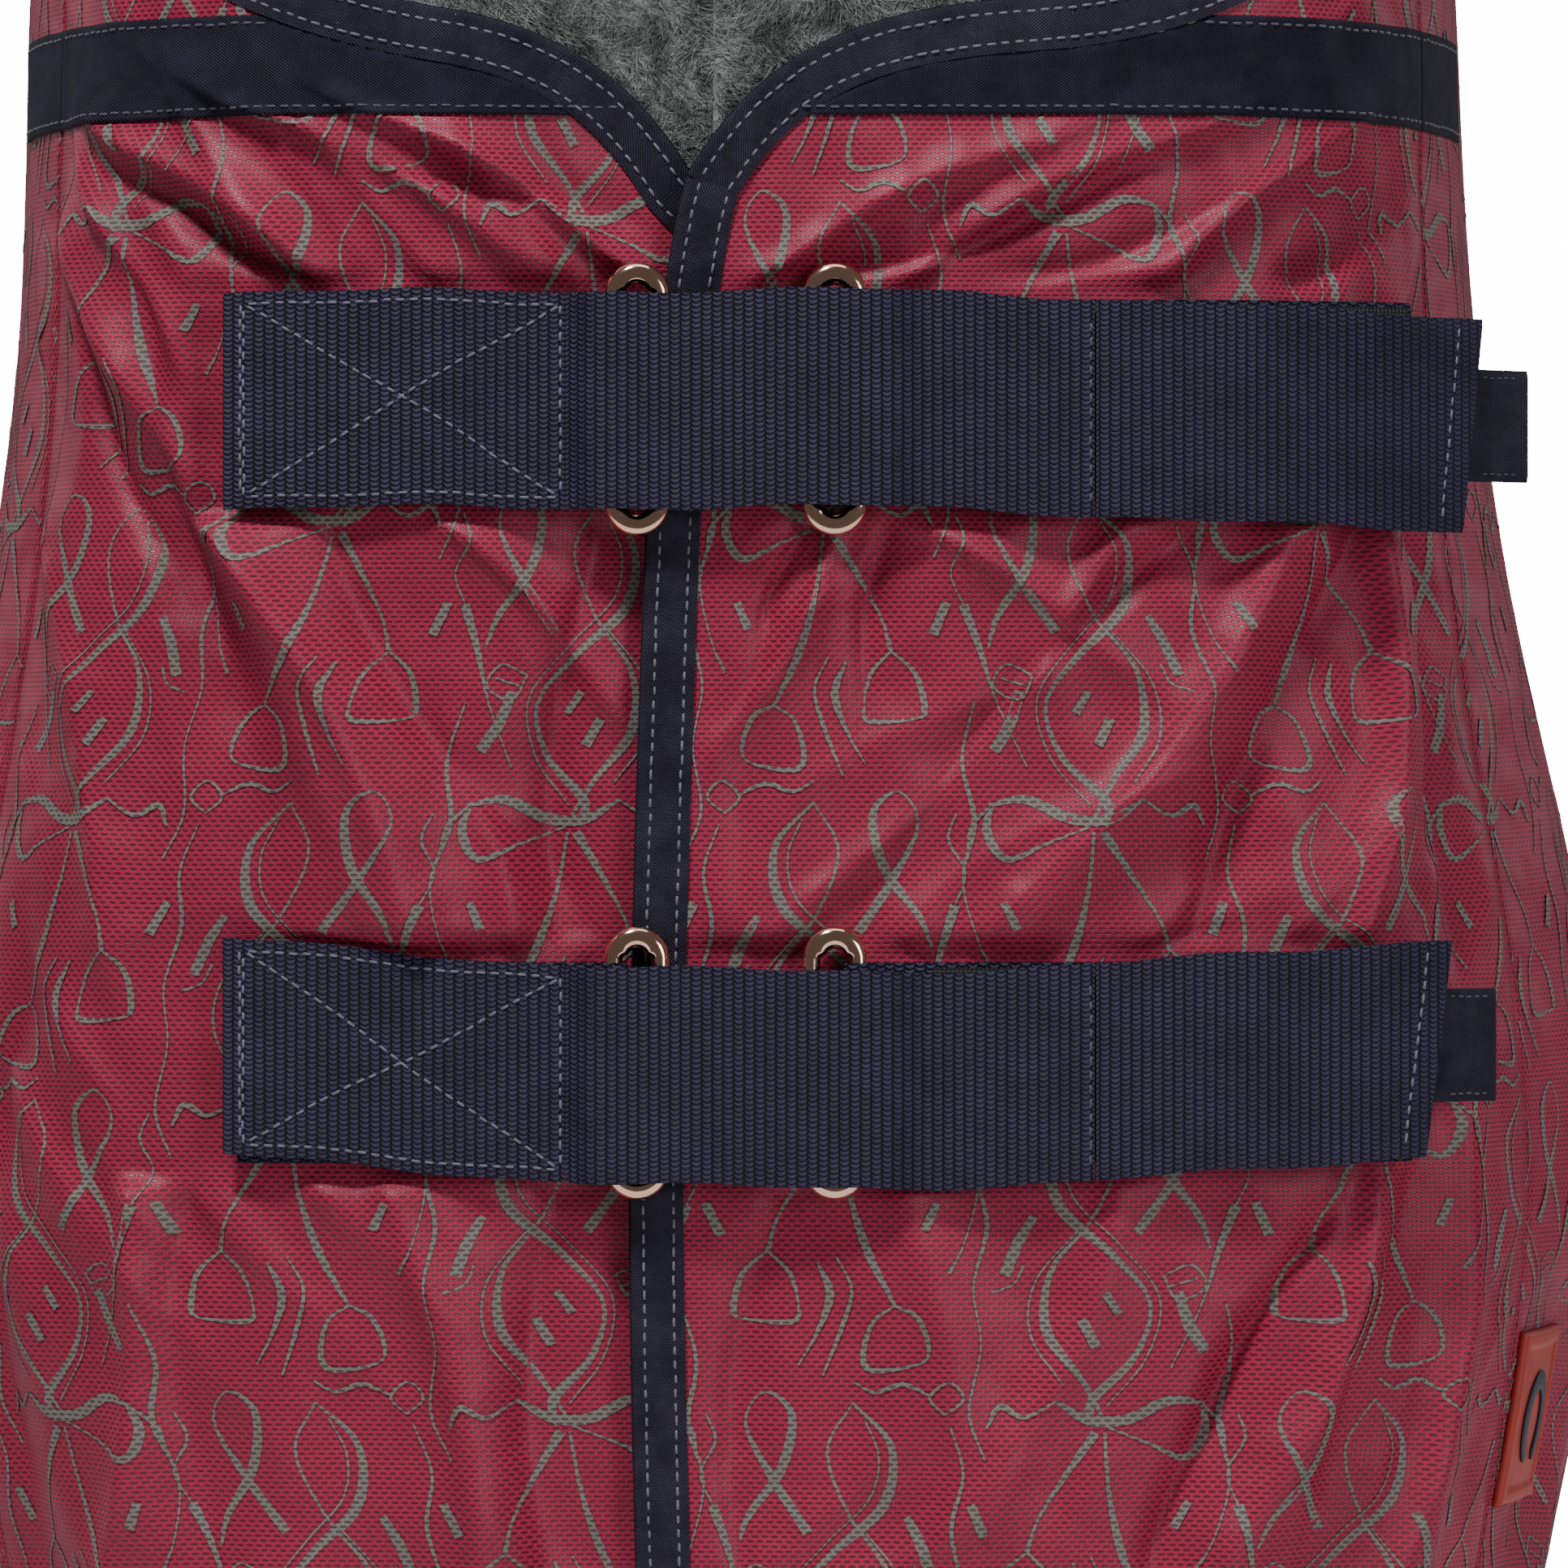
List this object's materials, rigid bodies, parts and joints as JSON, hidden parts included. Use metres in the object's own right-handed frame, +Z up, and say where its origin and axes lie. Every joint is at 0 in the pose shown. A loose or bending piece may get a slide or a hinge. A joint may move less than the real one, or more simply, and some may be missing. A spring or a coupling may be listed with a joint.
{
  "type": "turnout rug",
  "caption": "Horse's turnout rug with fleece neckline, bound front opening, hook-and-loop chest straps laid over oval rings, tail flap and belly surcingles.",
  "frame": {"origin": "where the rug's spine seam rests on the withers", "axes": "+Z up, the rug's front faces -Y and its tail +Y, +X is the horse's left side"},
  "size_m": [0.7538, 1.988, 1.17],
  "materials": {
    "red_cloth": "satin mesh cloth with rows of fine slots and a grey line print",
    "navy_tape": "matt herringbone twill",
    "navy_webbing": "matt ribbed webbing",
    "grey_fleece": "deep mottled fleece",
    "black_tape": "hook-and-loop tape",
    "rose_gold": "polished rose-gold plate",
    "orange_rubber": "satin moulded rubber",
    "navy_rubber": "satin moulded rubber",
    "steel": "satin"
  },
  "bodies": {
    "rug_body": {"front_surcingle": "navy_webbing", "front_surcingle_clip": "steel", "front_surcingle_eye": "steel", "left_collar_binding": "navy_tape", "left_hem_binding": "navy_tape", "left_hind_panel": "red_cloth", "left_rear_binding": "navy_tape", "left_side_band": "navy_tape", "left_side_panel": "red_cloth", "patch_horseshoe": "navy_rubber", "rear_surcingle": "navy_webbing", "rear_surcingle_clip": "steel", "rear_surcingle_eye": "steel", "right_collar_binding": "navy_tape", "right_hem_binding": "navy_tape", "right_hind_panel": "red_cloth", "right_rear_binding": "navy_tape", "right_side_band": "navy_tape", "right_side_panel": "red_cloth", "shoulder_patch": "orange_rubber", "spine_tape": "navy_webbing", "withers_fleece": "grey_fleece"},
    "left_front": {"left_front_panel": "red_cloth", "left_front_binding": "navy_tape", "left_neck_binding": "navy_tape", "left_front_hem": "navy_tape", "left_neck_fleece": "grey_fleece", "left_front_band": "navy_tape", "left_upper_keeper": "navy_webbing", "left_lower_keeper": "navy_webbing", "upper_hook_tape": "black_tape", "lower_hook_tape": "black_tape"},
    "right_front": {"right_front_panel": "red_cloth", "right_front_binding": "navy_tape", "right_neck_binding": "navy_tape", "right_front_hem": "navy_tape", "right_neck_fleece": "grey_fleece", "right_front_band": "navy_tape", "right_upper_keeper": "navy_webbing", "right_lower_keeper": "navy_webbing", "upper_strap_root": "navy_webbing", "lower_strap_root": "navy_webbing"},
    "upper_strap": {"upper_strap": "navy_webbing", "upper_loop_tape": "black_tape"},
    "lower_strap": {"lower_strap": "navy_webbing", "lower_loop_tape": "black_tape"},
    "upper_strap_end": {"upper_strap_end": "navy_webbing", "upper_end_loop_tape": "black_tape", "upper_pull_tab": "navy_tape"},
    "lower_strap_end": {"lower_strap_end": "navy_webbing", "lower_end_loop_tape": "black_tape", "lower_pull_tab": "navy_tape"},
    "left_upper_ring": {"left_upper_ring": "rose_gold"},
    "left_lower_ring": {"left_lower_ring": "rose_gold"},
    "right_upper_ring": {"right_upper_ring": "rose_gold"},
    "right_lower_ring": {"right_lower_ring": "rose_gold"},
    "tail_flap": {"tail_flap": "red_cloth"}
  },
  "joints": [
    {"name": "left_front_open", "type": "hinge", "parent": "rug_body", "child": "left_front", "pos_m": [0.3001, -0.43895, -0.352], "axis": [0, 0, 1], "range_deg": [0, 70]},
    {"name": "right_front_open", "type": "hinge", "parent": "rug_body", "child": "right_front", "pos_m": [-0.3001, -0.43895, -0.352], "axis": [0, 0, 1], "range_deg": [-70, 0]},
    {"name": "upper_strap_swing", "type": "hinge", "parent": "right_front", "child": "upper_strap", "pos_m": [-0.0645, -0.52687, -0.503], "axis": [0, 0, 1], "range_deg": [-84, 0]},
    {"name": "upper_strap_end_peel", "type": "hinge", "parent": "upper_strap", "child": "upper_strap_end", "pos_m": [0.131, -0.52909, -0.503], "axis": [0, 0, 1], "range_deg": [-120, 0]},
    {"name": "left_upper_ring_turn", "type": "hinge", "parent": "left_front", "child": "left_upper_ring", "pos_m": [0.0437, -0.5266, -0.503], "axis": [0, 0, 1], "range_deg": [0, 70]},
    {"name": "right_upper_ring_turn", "type": "hinge", "parent": "right_front", "child": "right_upper_ring", "pos_m": [-0.0467, -0.5266, -0.503], "axis": [0, 0, 1], "range_deg": [-70, 0]},
    {"name": "lower_strap_swing", "type": "hinge", "parent": "right_front", "child": "lower_strap", "pos_m": [-0.0645, -0.52688, -0.748], "axis": [0, 0, 1], "range_deg": [-84, 0]},
    {"name": "lower_strap_end_peel", "type": "hinge", "parent": "lower_strap", "child": "lower_strap_end", "pos_m": [0.131, -0.52956, -0.748], "axis": [0, 0, 1], "range_deg": [-120, 0]},
    {"name": "left_lower_ring_turn", "type": "hinge", "parent": "left_front", "child": "left_lower_ring", "pos_m": [0.0437, -0.5266, -0.748], "axis": [0, 0, 1], "range_deg": [0, 70]},
    {"name": "right_lower_ring_turn", "type": "hinge", "parent": "right_front", "child": "right_lower_ring", "pos_m": [-0.0467, -0.5266, -0.748], "axis": [0, 0, 1], "range_deg": [-70, 0]},
    {"name": "tail_flap_lift", "type": "hinge", "parent": "rug_body", "child": "tail_flap", "pos_m": [0, 1.4018, -0.11], "axis": [1, 0, 0], "range_deg": [0, 85]}
  ],
  "couplings": [
    {"joint": "right_front_open", "follows": "left_front_open", "ratio": -1},
    {"joint": "upper_strap_swing", "follows": "left_front_open", "ratio": -1.2},
    {"joint": "left_upper_ring_turn", "follows": "left_front_open", "ratio": 1},
    {"joint": "right_upper_ring_turn", "follows": "left_front_open", "ratio": -1},
    {"joint": "lower_strap_swing", "follows": "left_front_open", "ratio": -1.2},
    {"joint": "left_lower_ring_turn", "follows": "left_front_open", "ratio": 1},
    {"joint": "right_lower_ring_turn", "follows": "left_front_open", "ratio": -1}
  ]
}
